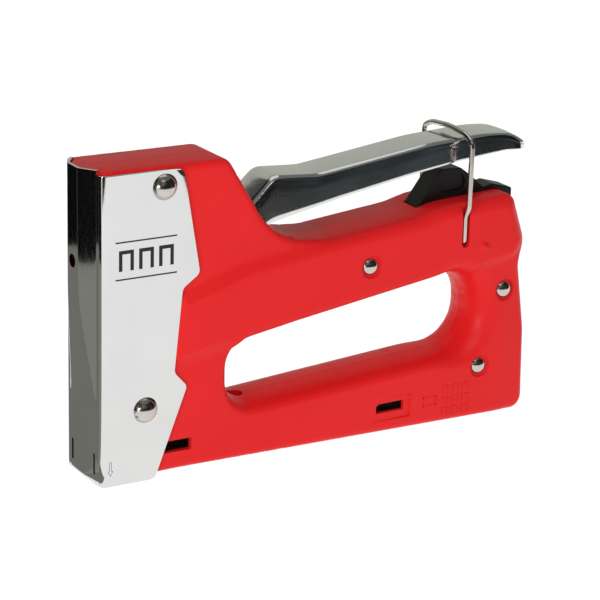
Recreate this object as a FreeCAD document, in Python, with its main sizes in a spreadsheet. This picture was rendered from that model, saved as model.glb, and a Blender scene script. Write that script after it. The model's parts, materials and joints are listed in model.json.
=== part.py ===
import FreeCAD, Part
import math
import os

# Hand staple gun (tacker) with two moulded body shells, a folded steel nose cover, a squeeze lever
# held down by a wire bail, a spring-driven hammer and a slide-out staple magazine.
# X runs from the nose to the rear, Y across, Z up. Outlines are written from the nose's front face
# (x = 0) and every piece is then placed so that the origin is under the middle of the tool.

os.makedirs("parts", exist_ok=True)
doc = FreeCAD.newDocument("staple_gun")

DIMENSIONS = {
    # overall
    "body_rear": 171.0,         # nose front face to the rear of the shells
    "body_top": 107.8,          # base to the top of the shells
    "flat_half": 12.5,          # mid-plane to the flat side of a shell
    "swell_half": 14.3,         # mid-plane to the raised grip area
    "shell_wall": 2.0,
    "running_gap": 0.3,         # air between pieces that move past each other
    # nose cover
    "nose_sheet": 1.0,
    "nose_half": 13.5,
    "nose_bend": 2.3,           # outside radius of the two bends
    "bulge_depth": 3.85,        # how far the pressed front stands out
    "bulge_flat": 4.1,          # half width of the raised flat
    "bulge_base": 9.8,          # half width where the bulge starts
    "bulge_top": 108.2,
    "flange_top": 106.8,
    # driver and hammer
    "blade_thick": 1.2,
    "blade_half": 5.6,
    "hammer_half": 6.0,
    "hammer_low": 72.0,
    "hammer_high": 86.0,
    "spring_seat": 101.0,
    # squeeze lever
    "pivot_x": 42.0,
    "pivot_z": 76.0,
    "pivot_pin_radius": 3.0,
    "lifter_reach": 32.0,       # pivot to the tip that lifts the hammer
    "lever_half": 9.5,
    "lever_sheet": 1.2,
    "lifter_thick": 6.0,
    # wire bail
    "wire_radius": 0.95,
    "bail_x": 141.2,
    "bail_z": 66.6,
    "groove_floor": 12.0,       # mid-plane to the floor of the bail's groove
    # magazine
    "channel_half": 7.8,
    "channel_low": 3.5,
    "channel_high": 15.0,
    "channel_sheet": 1.0,
    "rail_half": 4.6,
    "rail_low": 1.8,
    "rail_high": 13.2,
    "rail_flange": 6.6,
    # rivets
    "nose_rivet_head": 4.5,
    "nose_rivet_rise": 3.0,
    "nose_rivet_shank": 2.5,
    "body_rivet_head": 3.1,
    "body_rivet_rise": 1.6,
    "body_rivet_shank": 2.0,
    "recess_radius": 3.9,
    "recess_depth": 1.0,
    "drain_radius": 3.2,
    # lifter
    "lever_rivet_x": 57.5,
    "lever_rivet_z": 82.0,
}

sheet = doc.addObject("Spreadsheet::Sheet", "dims")
for row, (alias, value) in enumerate(DIMENSIONS.items(), start=1):
    sheet.set(f"A{row}", alias)
    sheet.set(f"B{row}", str(value))
    sheet.setAlias(f"B{row}", alias)
doc.recompute()


def dim(alias):
    return float(sheet.get(alias))


def vec(x, y, z=0.0):
    return FreeCAD.Vector(x, y, z)


SHIFT = vec((dim("bulge_depth") - dim("body_rear")) / 2, 0, 0)
nodes = {}


def keep(item, label):
    """Names a finished piece and puts it in the tool's own frame."""
    item.Label = label
    item.Placement = FreeCAD.Placement(item.Placement.Base + SHIFT, item.Placement.Rotation)
    nodes[label] = item
    return item


# ---- outlines -------------------------------------------------------------------------------

def rounded(corners):
    """Lines and arcs of a closed outline whose corners are (u, v) or (u, v, radius)."""
    count = len(corners)
    starts, middles, ends = [], [], []
    for index, corner in enumerate(corners):
        here = vec(corner[0], corner[1])
        radius = corner[2] if len(corner) > 2 else 0.0
        into = here - vec(*corners[index - 1][:2])
        away = vec(*corners[(index + 1) % count][:2]) - here
        into.normalize()
        away.normalize()
        half_turn = into.getAngle(away) / 2
        back = radius * math.tan(half_turn)
        towards = away - into
        if towards.Length > 1e-9:
            towards.normalize()
        starts.append(here - into * back)
        middles.append(here + towards * radius * (1 / math.cos(half_turn) - 1))
        ends.append(here + away * back)
    pieces = []
    for index in range(count):
        if (starts[index] - ends[index - 1]).Length > 1e-6:
            pieces.append(Part.LineSegment(ends[index - 1], starts[index]))
        if (ends[index] - starts[index]).Length > 1e-6:
            pieces.append(Part.ArcOfCircle(starts[index], middles[index], ends[index]))
    return pieces


def ring(u, v, radius):
    return [Part.Circle(vec(u, v), vec(0, 0, 1), radius)]


def rectangle(low_u, low_v, high_u, high_v, radius=0.0):
    points = [(low_u, low_v), (low_u, high_v), (high_u, high_v), (high_u, low_v)]
    return rounded([(u, v, radius) for u, v in points])


def inset(corners, distance):
    """The same outline moved inwards by a wall's thickness."""
    points = [vec(*corner[:2]) for corner in corners]
    count = len(points)
    area = sum(points[i - 1].x * points[i].y - points[i].x * points[i - 1].y for i in range(count))
    inward = 1 if area > 0 else -1
    moved = []
    for index, corner in enumerate(corners):
        into = points[index] - points[index - 1]
        away = points[(index + 1) % count] - points[index]
        into.normalize()
        away.normalize()
        side_in = vec(-into.y, into.x) * inward
        side_out = vec(-away.y, away.x) * inward
        turn = into.x * away.y - into.y * away.x
        bisector = side_in + side_out
        bisector.normalize()
        place = points[index] + bisector * (distance / bisector.dot(side_in))
        radius = corner[2] if len(corner) > 2 else 0.0
        radius = max(radius - distance, 0.3) if turn * inward > 0 else radius + distance
        moved.append((place.x, place.y, radius))
    return moved


# ---- features -------------------------------------------------------------------------------

PLANES = {"side": "XZ_Plane", "plan": "XY_Plane", "front": "YZ_Plane"}


def draw(body, name, plane, outlines, offset):
    """A sketch of outlines on one of the body's own origin planes, moved along its normal."""
    sketch = body.newObject("Sketcher::SketchObject", name + "_outline")
    role = PLANES[plane]
    origin_plane = next(item for item in body.Origin.OriginFeatures if item.Role == role)
    sketch.AttachmentSupport = [(origin_plane, "")]
    sketch.MapMode = "FlatFace"
    sketch.AttachmentOffset = FreeCAD.Placement(vec(0, 0, offset), FreeCAD.Rotation())
    for outline in outlines:
        sketch.addGeometry(outline, False)
    return sketch


def feature(kind, body, name, plane, outlines, length, offset, reverse, both):
    item = body.newObject("PartDesign::" + kind, name)
    item.Profile = draw(body, name, plane, outlines, offset)
    item.setExpression("Length", str(length))
    item.Reversed = reverse
    if both:
        item.SideType = "Symmetric"
    doc.recompute()
    return item


def pad(body, name, plane, outlines, length, offset=0.0, reverse=False, both=False):
    return feature("Pad", body, name, plane, outlines, length, offset, reverse, both)


def pocket(body, name, plane, outlines, length, offset=0.0, reverse=False, both=False):
    before = body.Shape.Volume
    item = feature("Pocket", body, name, plane, outlines, length, offset, reverse, both)
    if body.Shape.Volume >= before - 1e-3:
        raise RuntimeError(f"{body.Name}: {name} removed nothing")
    return item


def new_body(name):
    return doc.addObject("PartDesign::Body", name)


def round_edges(body, name, radius, chosen):
    """Fillets the edges of the body's last feature for which chosen(edge) is true."""
    base = body.Tip
    picked = [f"Edge{i}" for i, edge in enumerate(base.Shape.Edges, start=1) if chosen(edge)]
    item = body.newObject("PartDesign::Fillet", name)
    item.Base = (base, picked)
    item.Radius = radius
    doc.recompute()
    return item


def lies_on(edge, axis, level):
    """True for an edge all of whose points have the same coordinate, such as y = level."""
    first, last = edge.ParameterRange
    steps = [first + (last - first) * part / 4 for part in range(5)]
    return all(abs(getattr(edge.valueAt(step), axis) - level) < 1e-4 for step in steps)


def cylinder(name, radius, length, place, turn=(0, 0, 1, 0)):
    """A round bar along Y unless turned; radius and length may be formulas."""
    item = doc.addObject("Part::Cylinder", name)
    item.setExpression("Radius", str(radius))
    item.setExpression("Height", str(length))
    along_y = FreeCAD.Rotation(vec(1, 0, 0), -90)
    turned = FreeCAD.Rotation(vec(*turn[:3]), turn[3])
    item.Placement = FreeCAD.Placement(vec(*place), turned * along_y)
    return item


def join(name, *pieces):
    item = doc.addObject("Part::MultiFuse", name)
    item.Shapes = list(pieces)
    return item


def cut(name, base, *tools):
    """Takes one tool after another out of the base."""
    result = base
    for number, tool in enumerate(tools):
        item = doc.addObject("Part::Cut", name if number == len(tools) - 1 else f"{name}_{number}")
        item.Base = result
        item.Tool = tool
        result = item
    return result


def dome(name, radius, rise, place, side):
    """A low spherical rivet head on a side face, side = -1 or 1 for the way it faces."""
    ball_radius = (radius * radius + rise * rise) / (2 * rise)
    ball = doc.addObject("Part::Sphere", name + "_ball")
    ball.Radius = ball_radius
    ball.Placement.Base = vec(place[0], place[1] - side * (ball_radius - rise), place[2])
    disc_height = rise + 1
    disc_start = min(place[1], place[1] + side * disc_height)
    disc = cylinder(name + "_disc", radius + 1, disc_height, (place[0], disc_start, place[2]))
    head = doc.addObject("Part::Common", name)
    head.Base = ball
    head.Tool = disc
    return head


def swept_wire(name, points, bend, radius):
    """A round wire along straight runs joined by tangent arcs of one bend radius."""
    edges = []
    start = vec(*points[0])
    for index in range(1, len(points) - 1):
        here = vec(*points[index])
        into = here - vec(*points[index - 1])
        away = vec(*points[index + 1]) - here
        into.normalize()
        away.normalize()
        half_turn = into.getAngle(away) / 2
        back = bend[index - 1] * math.tan(half_turn)
        towards = away - into
        towards.normalize()
        arc_start = here - into * back
        arc_end = here + away * back
        middle = here + towards * bend[index - 1] * (1 / math.cos(half_turn) - 1)
        edges.append(Part.LineSegment(start, arc_start).toShape())
        edges.append(Part.Arc(arc_start, middle, arc_end).toShape())
        start = arc_end
    edges.append(Part.LineSegment(start, vec(*points[-1])).toShape())
    path = Part.Wire(edges)
    direction = vec(*points[1]) - vec(*points[0])
    section = Part.Wire([Part.Circle(vec(*points[0]), direction, radius).toShape()])
    item = doc.addObject("Part::Feature", name)
    item.Shape = path.makePipeShell([section], True, True)
    return item


def coil(name, wire, radius, height, turns, place, direction):
    """A helical spring that starts at a place and winds along a direction."""
    helix = Part.makeHelix(height / turns, height, radius)
    section = Part.Wire([Part.Circle(vec(radius, 0, 0), vec(0, 1, 0), wire).toShape()])
    item = doc.addObject("Part::Feature", name)
    item.Shape = Part.Wire(helix).makePipeShell([section], True, True)
    turn = FreeCAD.Rotation(vec(0, 0, 1), vec(*direction))
    item.Placement = FreeCAD.Placement(vec(*place), turn)
    return item


# ---- body shells ----------------------------------------------------------------------------

gap = dim("running_gap")
rear = dim("body_rear")
top = dim("body_top")
front = dim("nose_sheet") + 0.15

SHELL_OUTLINE = [
    (front, 0.8, 0.5), (front, top, 0.8), (47.5, top - 0.3, 5), (66.5, 76.0, 26), (88.0, 74.4, 40),
    (124.0, 78.2, 30), (131.0, 80.4, 30), (162.4, 82.2, 5), (168.4, 64.0, 10), (166.6, 57.0, 10),
    (rear - 0.6, 30.0, 30), (rear, 0.0, 4.5), (30.0, 1.3, 30),
]
FINGER_OPENING = [
    (49.5, 19.5, 9), (49.5, 41.5, 9), (75.0, 45.6, 60), (148.5, 56.2, 13), (149.5, 26.8, 13),
]
SWELLING = [
    (29.3, 41.0, 2.5), (31.0, 62.2, 2.5), (54.0, 68.8, 30), (80.0, 72.3, 40), (122.0, 75.8, 30),
    (131.0, 78.0, 30), (160.4, 79.7, 5), (165.3, 62.0, 4), (163.0, 58.2, 3), (120.0, 55.0, 40),
    (88.0, 49.8, 60), (60.0, 46.0, 40), (46.0, 43.6, 20),
]
MECHANISM_HALF = dim("flat_half") - dim("shell_wall")
NOSE_RIVETS = [(23.1, 101.0), (16.3, 25.1)]
BODY_RIVETS = [(102.8, 63.1, "swell_half"), (160.3, 46.4, "flat_half"), (150.8, 19.1, "flat_half")]


def make_shell(label, side):
    """One moulded half. side is -1 or 1: which way from the mid-plane it lies."""
    body = new_body(label)
    outwards = side > 0                       # a pad from the side plane goes to -Y unless reversed

    def at(distance):
        return -side * distance               # sketch offset that gives y = side * distance

    def add(name, outlines, length, start=0.0):
        pad(body, name, "side", outlines, length, at(start), reverse=outwards)

    def remove(name, outlines, length, start=0.0):
        pocket(body, name, "side", outlines, length, at(start), reverse=not outwards)

    add("wall", [rounded(SHELL_OUTLINE), rounded(FINGER_OPENING)], "dims.flat_half")
    flat = side * dim("flat_half")
    round_edges(body, "edge_round", 1.6, lambda edge: lies_on(edge, "y", flat))
    add("grip_swelling", [rounded(SWELLING)], "dims.swell_half - dims.flat_half + 1", dim("flat_half") - 1)
    raised = side * dim("swell_half")
    round_edges(body, "swelling_round", 1.2, lambda edge: lies_on(edge, "y", raised))

    inner = inset(SHELL_OUTLINE, dim("shell_wall"))
    inner[0] = (-1.0, inner[0][1], 0)
    inner[1] = (-1.0, inner[1][1], 0)
    island = inset(FINGER_OPENING, -dim("shell_wall"))
    remove("hollow", [rounded(inner), rounded(island)], "dims.flat_half - dims.shell_wall")

    # the top runs forward over the pressed bulge of the nose cover
    reach = dim("bulge_depth") - dim("nose_sheet") - 0.15
    tongue = [(front + 1, 0), (front + 1, side * 8.4), (front, side * 8.4),
              (-reach, side * 3.4), (-reach, 0)]
    pad(body, "bulge_tongue", "plan", [rounded(tongue)], 3.2, top - 3.2)

    # bosses and ribs on the inside
    bosses = [ring(x, z, 4.3) for x, z in NOSE_RIVETS] + [ring(x, z, 3.5) for x, z, _ in BODY_RIVETS]
    stop_ledge = rectangle(6.2, 46, 19, 50)
    add("bosses", bosses + [stop_ledge], MECHANISM_HALF + 0.5)
    add("pivot_boss", [ring(dim("pivot_x"), dim("pivot_z"), 6)], 1.2, dim("lever_half") + gap)
    add("hammer_guide", [rectangle(4.4, 46, 17, 100.8)], 4.4, dim("hammer_half") + gap)
    ribs = [rectangle(x, 49 + 0.12 * (x - 62), x + 1.6, 72) for x in (62.0, 84.0, 126.0)]
    add("grip_ribs", ribs, 2.5, MECHANISM_HALF - 2)

    # slots for the lever, its cheeks and the stop insert
    chest = [(44, 103.5), (64, 103.5), (73.5, 82), (73.5, 77.8), (44, 77.8)]
    remove("lever_slot", [rounded(chest)], "dims.lever_half + 0.9")
    remove("cheek_slot", [rectangle(50, 73.0, 73.5, 80)], 2.3, 8.1)
    remove("insert_seat", [rectangle(126.3, 75, 167.3, 95)], 4.5)

    # magazine slot in the base, its rear mouth and the room for the driver guides
    remove("magazine_slot", [rectangle(4, -1, 164, 3.4)], 7.1)
    remove("magazine_mouth", [rectangle(158, -1, 175, 15.4)], 7.5)
    remove("guide_seat", [rectangle(-1, -1, 6.0, 61)], 9.7)

    # windows onto the staples, rivet holes and the holes for the bail's ends
    x, z = dim("bail_x"), dim("bail_z")
    through = [rectangle(23.0, 7.9, 34.1, 12.1)]
    through += [rounded([(107.6, 7.9), (107.6, 10.6), (108.6, 11.4), (119.1, 11.4), (119.1, 7.9)])]
    through += [ring(u, v, dim("nose_rivet_shank") + 0.02) for u, v in NOSE_RIVETS]
    through += [ring(u, v, dim("body_rivet_shank") + 0.02) for u, v, _ in BODY_RIVETS]
    through += [ring(x, z, dim("wire_radius") + 0.05)]
    remove("through_holes", through, 20)
    remove("window_recess", [rectangle(106.3, 5.0, 121.8, 13.4, 0.8)], 3, dim("flat_half") - 0.7)

    # drain hole in the floor of the finger opening, half of it in each shell
    drain = [ring(57.0, 0, dim("drain_radius"))]
    pocket(body, "drain_hole", "plan", drain, 10, 14.0, reverse=True)

    # bail groove, rivet recesses and the pin's blind socket
    groove = [(x - 1.5, z - 1.5, 1.49), (x - 1.5, 90), (x + 1.5, 90), (x + 1.5, z - 1.5, 1.49)]
    remove("bail_groove", [rounded(groove)], 4, dim("groove_floor"))
    for face in ("flat_half", "swell_half"):
        recesses = [ring(u, v, dim("recess_radius")) for u, v, level in BODY_RIVETS if level == face]
        remove("recess_" + face, recesses, 3, dim(face) - dim("recess_depth"))
    socket = ring(dim("pivot_x"), dim("pivot_z"), dim("pivot_pin_radius") + 0.02)
    remove("pin_socket", [socket], 2.3, dim("lever_half"))

    # the bump that holds the bail when it is folded back
    bump = body.newObject("PartDesign::AdditiveSphere", "bail_bump")
    bump.Radius = 1.6
    bump.Placement.Base = vec(149.5, side * (dim("swell_half") - 0.6), 64.1)
    doc.recompute()
    keep(body, label)


make_shell("left_shell", -1)
make_shell("right_shell", 1)

# ---- nose -----------------------------------------------------------------------------------

NOSE_SIDE = [
    (19.8, 0, 2.5), (31.8, 31.2, 2.2), (27.0, 36.5, 3.0), (29.9, 65.5, 3.0), (36.3, 70.0, 2.5),
    (29.9, dim("flange_top"), 6),
]


def nose_section(depth):
    """Plan of the folded sheet, with its bulge standing out by depth."""
    half, bend, wall = dim("nose_half"), dim("nose_bend"), dim("nose_sheet")
    flat, base, back = dim("bulge_flat"), dim("bulge_base"), 40.0
    outer = [(0, -half, bend), (back, -half), (back, half), (0, half, bend)]
    face = [(0, base, 0.6), (-depth, flat, 0.8), (-depth, -flat, 0.8), (0, -base, 0.6)]
    lean = math.atan2(depth, base - flat)
    slip = wall * math.tan(lean / 2)
    inner_face = [(wall, -base + slip, 0.6), (wall - depth, -flat + slip, 0.8),
                  (wall - depth, flat - slip, 0.8), (wall, base - slip, 0.6)]
    inner = [(back, half - wall), (wall, half - wall, bend - wall)]
    inner_end = [(wall, wall - half, bend - wall), (back, wall - half)]
    return rounded(outer[:1] + outer[1:2] + inner_end[::-1] + inner_face
                   + inner[::-1] + outer[2:] + face)


cover = new_body("nose_cover")
full = dim("bulge_depth")
LEVELS = [(0.0, 0.04), (30.0, 0.04), (62.0, full), (dim("bulge_top"), full)]
sections = []
for number, (z, deep) in enumerate(LEVELS):
    sections.append(draw(cover, f"level_{number}", "plan", [nose_section(deep)], z))
folded = cover.newObject("PartDesign::AdditiveLoft", "folded_sheet")
folded.Profile = sections[0]
folded.Sections = sections[1:]
folded.Ruled = True
doc.recompute()
beyond = [(60, -2), (60, 120), (0.9, 120), (0.9, dim("flange_top"))] + NOSE_SIDE[::-1] + [(19.8, -2)]
pocket(cover, "side_outline", "side", [rounded(beyond)], 40, both=True)
for side in (-1, 1):
    name = "left" if side < 0 else "right"
    strip = sorted((side * (dim("bulge_base") + 0.3), side * 20))
    pocket(cover, f"flange_{name}", "front", [rectangle(strip[0], dim("flange_top"), strip[1], 120)], 20,
           offset=-5, reverse=True)
    middle = side * 8.2
    pocket(cover, f"lug_slot_{name}", "front", [rectangle(middle - 0.65, 3.4, middle + 0.65, 10.8)], 10,
           offset=-5, reverse=True)
pocket(cover, "sight_hole", "front", [ring(0, 76.0, 2.3)], 10, offset=-6, reverse=True)
for number, (x, z) in enumerate(NOSE_RIVETS):
    hole = ring(x, z, dim("nose_rivet_shank") + 0.02)
    pocket(cover, f"rivet_hole_{number}", "side", [hole], 40, both=True)
keep(cover, "nose_cover")

guide = new_body("front_guide_plate")
track = dim("blade_half") + gap
blade_front = 2.7
blade_back = blade_front + dim("blade_thick")
plate = [(1.1, -9.5), (4.1, -9.5), (4.1, -track), (2.4, -track),
         (2.4, track), (4.1, track), (4.1, 9.5), (1.1, 9.5)]
pad(guide, "folded_plate", "plan", [rounded(plate)], 59)
for side in (-1, 1):
    middle = side * 8.2
    pad(guide, "lug_left" if side < 0 else "lug_right", "front",
        [rectangle(middle - 0.45, 3.7, middle + 0.45, 10.5)], 1.4, offset=0.1)
keep(guide, "front_guide_plate")

channel_guide = new_body("driver_channel")
pad(channel_guide, "plate", "front", [rectangle(-9.5, 0, 9.5, 45.5)], 1.5, offset=4.2)
passage = [rectangle(-6.3, 3.0, 6.3, 15.4)]
pocket(channel_guide, "staple_passage", "front", passage, 10, offset=2, reverse=True)
keep(channel_guide, "driver_channel")

rivet_parts = []
for number, (x, z) in enumerate(NOSE_RIVETS):
    half = dim("nose_half")
    shank = cylinder(f"nose_shank_{number}", "dims.nose_rivet_shank", "2 * dims.nose_half", (x, -half, z))
    heads = [dome(f"nose_head_{number}_{side + 1}", dim("nose_rivet_head"), dim("nose_rivet_rise"),
                  (x, side * half, z), side) for side in (-1, 1)]
    rivet_parts.append(join(f"nose_rivet_{number}", shank, *heads))
group = doc.addObject("Part::Compound", "nose_rivets")
group.Links = rivet_parts
keep(group, "nose_rivets")

rivet_parts = []
for number, (x, z, face) in enumerate(BODY_RIVETS):
    half = dim(face) - dim("recess_depth")
    shank = cylinder(f"body_shank_{number}", "dims.body_rivet_shank", 2 * half, (x, -half, z))
    heads = [dome(f"body_head_{number}_{side + 1}", dim("body_rivet_head"), dim("body_rivet_rise"),
                  (x, side * half, z), side) for side in (-1, 1)]
    rivet_parts.append(join(f"body_rivet_{number}", shank, *heads))
group = doc.addObject("Part::Compound", "body_rivets")
group.Links = rivet_parts
keep(group, "body_rivets")

# ---- driver blade, hammer and main spring ---------------------------------------------------

low, high = dim("hammer_low"), dim("hammer_high")
tip_x = dim("pivot_x") - dim("lifter_reach")
tip_z = dim("pivot_z") + 5.4
tip_radius = 2.6

blade = new_body("driver_blade")
edge = dim("blade_half")
blade_outline = [(-edge, 14.5), (-edge, high - 5, 1), (-4, high - 2, 1),
                 (4, high - 2, 1), (edge, high - 5, 1), (edge, 14.5)]
pad(blade, "strip", "front", [rounded(blade_outline)], "dims.blade_thick", offset=blade_front)
pocket(blade, "pin_hole", "front", [ring(0, low + 2.6, 1.55)], 10, reverse=True)
keep(blade, "driver_blade")

hammer = new_body("plunger")
notch = tip_radius + 0.5
hammer_back = 16.5
hammer_side = [(blade_back, low), (blade_back, high), (hammer_back, high), (hammer_back, low)]
pad(hammer, "block", "side", [rounded(hammer_side)], "2 * dims.hammer_half", both=True)
lifter_slot = [(tip_x - notch, low - 1), (tip_x - notch, tip_z + notch), (11.5, tip_z + notch),
               (13.5, high + 1), (hammer_back + 1, high + 1), (hammer_back + 1, low - 1)]
pocket(hammer, "lifter_slot", "side", [rounded(lifter_slot)], "dims.lifter_thick + 0.8", both=True)
pocket(hammer, "pin_hole", "front", [ring(0, low + 2.6, 1.5)], 12, offset=2, reverse=True)
keep(hammer, "plunger")

pin_length = tip_x - notch - blade_front
pin = cylinder("plunger_pin", 1.5, pin_length, (blade_front, 0, low + 2.6), (0, 0, 1, -90))
keep(pin, "plunger_pin")

spring_low = high + 0.9
spring_height = dim("spring_seat") - 0.9 - spring_low
main_spring = coil("main_spring", 0.8, 4.9, spring_height, 6, (10.2, 0, spring_low), (0, 0, 1))
keep(main_spring, "main_spring")

cap = new_body("spring_cap")
cap_plan = rectangle(4.0, -8.0, 16.6, 8.0, 1.0)
pad(cap, "plate", "plan", [cap_plan], 2.0, offset=dim("spring_seat") + 0.05)
pad(cap, "spigot", "plan", [ring(10.2, 0, 3.4)], 4.0, offset=dim("spring_seat") - 3.5)
keep(cap, "spring_cap")

stop = new_body("stop_pad")
pad(stop, "block", "plan", [rectangle(6.4, -6.1, 16.6, 6.1, 1.2)], 7.6, offset=50.0)
keep(stop, "stop_pad")

# ---- squeeze lever --------------------------------------------------------------------------

LEVER_TOP = [
    (35.5, 82.5, 5), (51.5, 83.6, 6), (67.2, 98.4, 5), (84.0, 97.2, 20), (100.0, 99.2, 40),
    (128.0, 102.8, 60), (152.0, 104.0, 60), (163.0, 103.2, 14), (170.8, 98.7, 1.0),
]
LEVER_BOTTOM = [
    (160.0, 97.9, 20), (139.4, 95.3, 80), (119.2, 92.5, 80), (91.0, 87.7, 80), (63.6, 82.2, 12),
    (50.0, 70.0, 6), (35.5, 69.5, 5),
]
sheet_gap = dim("lever_sheet")
half = dim("lever_half")
outer_profile = new_body("lever_profile")
pad(outer_profile, "pressing", "side", [rounded(LEVER_TOP + LEVER_BOTTOM)], "2 * dims.lever_half", both=True)


def on_lever_rim(edge):
    middle = edge.valueAt(sum(edge.ParameterRange) / 2)
    along_side = lies_on(edge, "y", half) or lies_on(edge, "y", -half)
    return along_side and middle.x > 58 and middle.z > 84 + 0.135 * (middle.x - 58)


round_edges(outer_profile, "rim_round", 1.5, on_lever_rim)
outer_plan = new_body("lever_plan")
lever_end = 172.0
plan_outline = [(30, -half), (30, half), (lever_end, half, 8.5), (lever_end, -half, 8.5)]
pad(outer_plan, "plan", "plan", [rounded(plan_outline)], 60, offset=60)
outer = doc.addObject("Part::Common", "lever_outside")
outer.Base = outer_profile
outer.Tool = outer_plan

inner_top = inset(LEVER_TOP + [(163.0, 60, 0), (30, 60, 0)], sheet_gap)
inner_top[0] = (20.0, inner_top[0][1], 0)
inner_top[-1] = (20.0, 55, 0)
inner_top[-2] = (inner_top[-3][0] - 4, 55, 0)
inner_profile = new_body("lever_hollow")
inner_width = "2 * (dims.lever_half - dims.lever_sheet)"
pad(inner_profile, "hollow", "side", [rounded(inner_top)], inner_width, both=True)
inner_half = half - sheet_gap
inner_plan = new_body("lever_hollow_plan")
inner_end = lever_end - sheet_gap
hollow_plan = [(20, -inner_half), (20, inner_half), (inner_end, inner_half, 7.3), (inner_end, -inner_half, 7.3)]
pad(inner_plan, "plan", "plan", [rounded(hollow_plan)], 70, offset=50)
inside = doc.addObject("Part::Common", "lever_inside")
inside.Base = inner_profile
inside.Tool = inner_plan

pivot = (dim("pivot_x"), -20, dim("pivot_z"))
rivet_place = (dim("lever_rivet_x"), -20, dim("lever_rivet_z"))
lever = cut("lever", outer, inside,
            cylinder("lever_bore", "dims.pivot_pin_radius + 0.05", 40, pivot),
            cylinder("lever_rivet_hole", 2.02, 40, rivet_place))
keep(lever, "lever")

lifter = new_body("lifter_arm")
arm = [(50.5, 68.5, 6), (36.5, 68.5, 6), (tip_x - tip_radius, tip_z - tip_radius, 2.5),
       (tip_x - tip_radius, tip_z + tip_radius, 2.5), (36.0, 82.0, 10), (51.0, 81.2, 5), (56.5, 85.6, 2),
       (60.5, 87.4, 2), (62.5, 82.6, 3)]
pad(lifter, "plate", "side", [rounded(arm)], "dims.lifter_thick", both=True)
bore = ring(dim("pivot_x"), dim("pivot_z"), dim("pivot_pin_radius") + 0.05)
pocket(lifter, "bore", "side", [bore], 20, both=True)
pocket(lifter, "rivet_hole", "side", [ring(rivet_place[0], rivet_place[2], 2.02)], 20, both=True)
keep(lifter, "lifter_arm")

shank_half = half + 0.2                       # riveted over into both heads
shank = cylinder("lever_rivet_shank", 2.0, 2 * shank_half, (rivet_place[0], -shank_half, rivet_place[2]))
heads = [dome(f"lever_rivet_head_{side + 1}", 3.2, 0.7, (rivet_place[0], side * half, rivet_place[2]), side)
         for side in (-1, 1)]
keep(join("lever_rivet", shank, *heads), "lever_rivet")

end_play = 0.05
arm_face = dim("lifter_thick") / 2 + end_play
bush_length = inner_half - end_play - arm_face
bush_parts = []
for side in (-1, 1):
    y = arm_face if side > 0 else -arm_face - bush_length
    corner = (pivot[0], y, pivot[2])
    sleeve = cylinder(f"bush_outside_{side + 1}", 4.4, bush_length, corner)
    bush_bore = cylinder(f"bush_bore_{side + 1}", "dims.pivot_pin_radius + 0.05", bush_length, corner)
    bush_parts.append(cut(f"bush_{side + 1}", sleeve, bush_bore))
group = doc.addObject("Part::Compound", "lever_bushes")
group.Links = bush_parts
keep(group, "lever_bushes")

pin_half = 11.5
pivot_pin = cylinder("lever_pivot_pin", "dims.pivot_pin_radius", 2 * pin_half, (pivot[0], -pin_half, pivot[2]))
keep(pivot_pin, "lever_pivot_pin")

wound = coil("return_spring_coil", 0.45, 5.2, 3.9, 3, (pivot[0], 3.7, pivot[2]), (0, 1, 0))
keep(wound, "lever_return_spring")

insert = new_body("lever_stop_insert")
insert_half = 4.4
INSERT = [
    (126.8, 76.2), (126.8, 79.0, 0.6), (136.4, 91.7, 1.2), (144.6, 91.4, 2.0), (149.2, 88.0, 2.0),
    (154.6, 83.2, 1.2), (158.6, 83.9, 1.5), (166.8, 81.6, 0.8), (166.8, 77.5, 0.8), (160.0, 76.2),
]
DIMPLE = [(135.5, 82.8, 2.6), (135.5, 88.8, 2.6), (146.5, 89.2, 2.6), (146.5, 83.6, 2.6)]
pad(insert, "block", "side", [rounded(INSERT)], 2 * insert_half, both=True)


def on_insert_side(edge):
    middle = edge.valueAt(sum(edge.ParameterRange) / 2)
    return (lies_on(edge, "y", insert_half) or lies_on(edge, "y", -insert_half)) and middle.z > 80.5


round_edges(insert, "edges", 0.5, on_insert_side)
for side in (-1, 1):
    floor = insert_half - 0.8
    pocket(insert, f"dimple_{side + 1}", "side", [rounded(DIMPLE)], 3, offset=-side * floor, reverse=side < 0)
keep(insert, "lever_stop_insert")

# ---- wire bail ------------------------------------------------------------------------------

x, z = dim("bail_x"), dim("bail_z")
arm_y = dim("groove_floor") + 0.25 + dim("wire_radius")
half_route = [(x, 8.0, z), (x, arm_y, z), (x, arm_y, 76.0), (x + 0.1, arm_y + 2.0, 79.6),
              (x + 0.4, arm_y + 2.0, 102.9), (x + 0.6, 11.0, 105.0)]
route = half_route + [(x + 0.7, 0, 106.0)] + [(px, -py, pz) for px, py, pz in half_route[::-1]]
half_bends = [1.5, 4.0, 4.0, 2.6, 12.0]
bail = swept_wire("wire_bail", route, half_bends + [40.0] + half_bends[::-1], dim("wire_radius"))
keep(bail, "wire_bail")

# ---- magazine -------------------------------------------------------------------------------

channel = new_body("magazine_channel")
wide, thin = dim("channel_half"), dim("channel_sheet")
low, high = dim("channel_low"), dim("channel_high")
arch = [(-wide, low), (-wide, high, 1.2), (wide, high, 1.2), (wide, low), (wide - thin, low),
        (wide - thin, high - thin), (-wide + thin, high - thin), (-wide + thin, low)]
pad(channel, "arch", "front", [rounded(arch)], 150, offset=6.0)
pocket(channel, "front_sight", "side", [rectangle(20, 6.5, 37, 13)], 40, both=True)
keep(channel, "magazine_channel")

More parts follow.
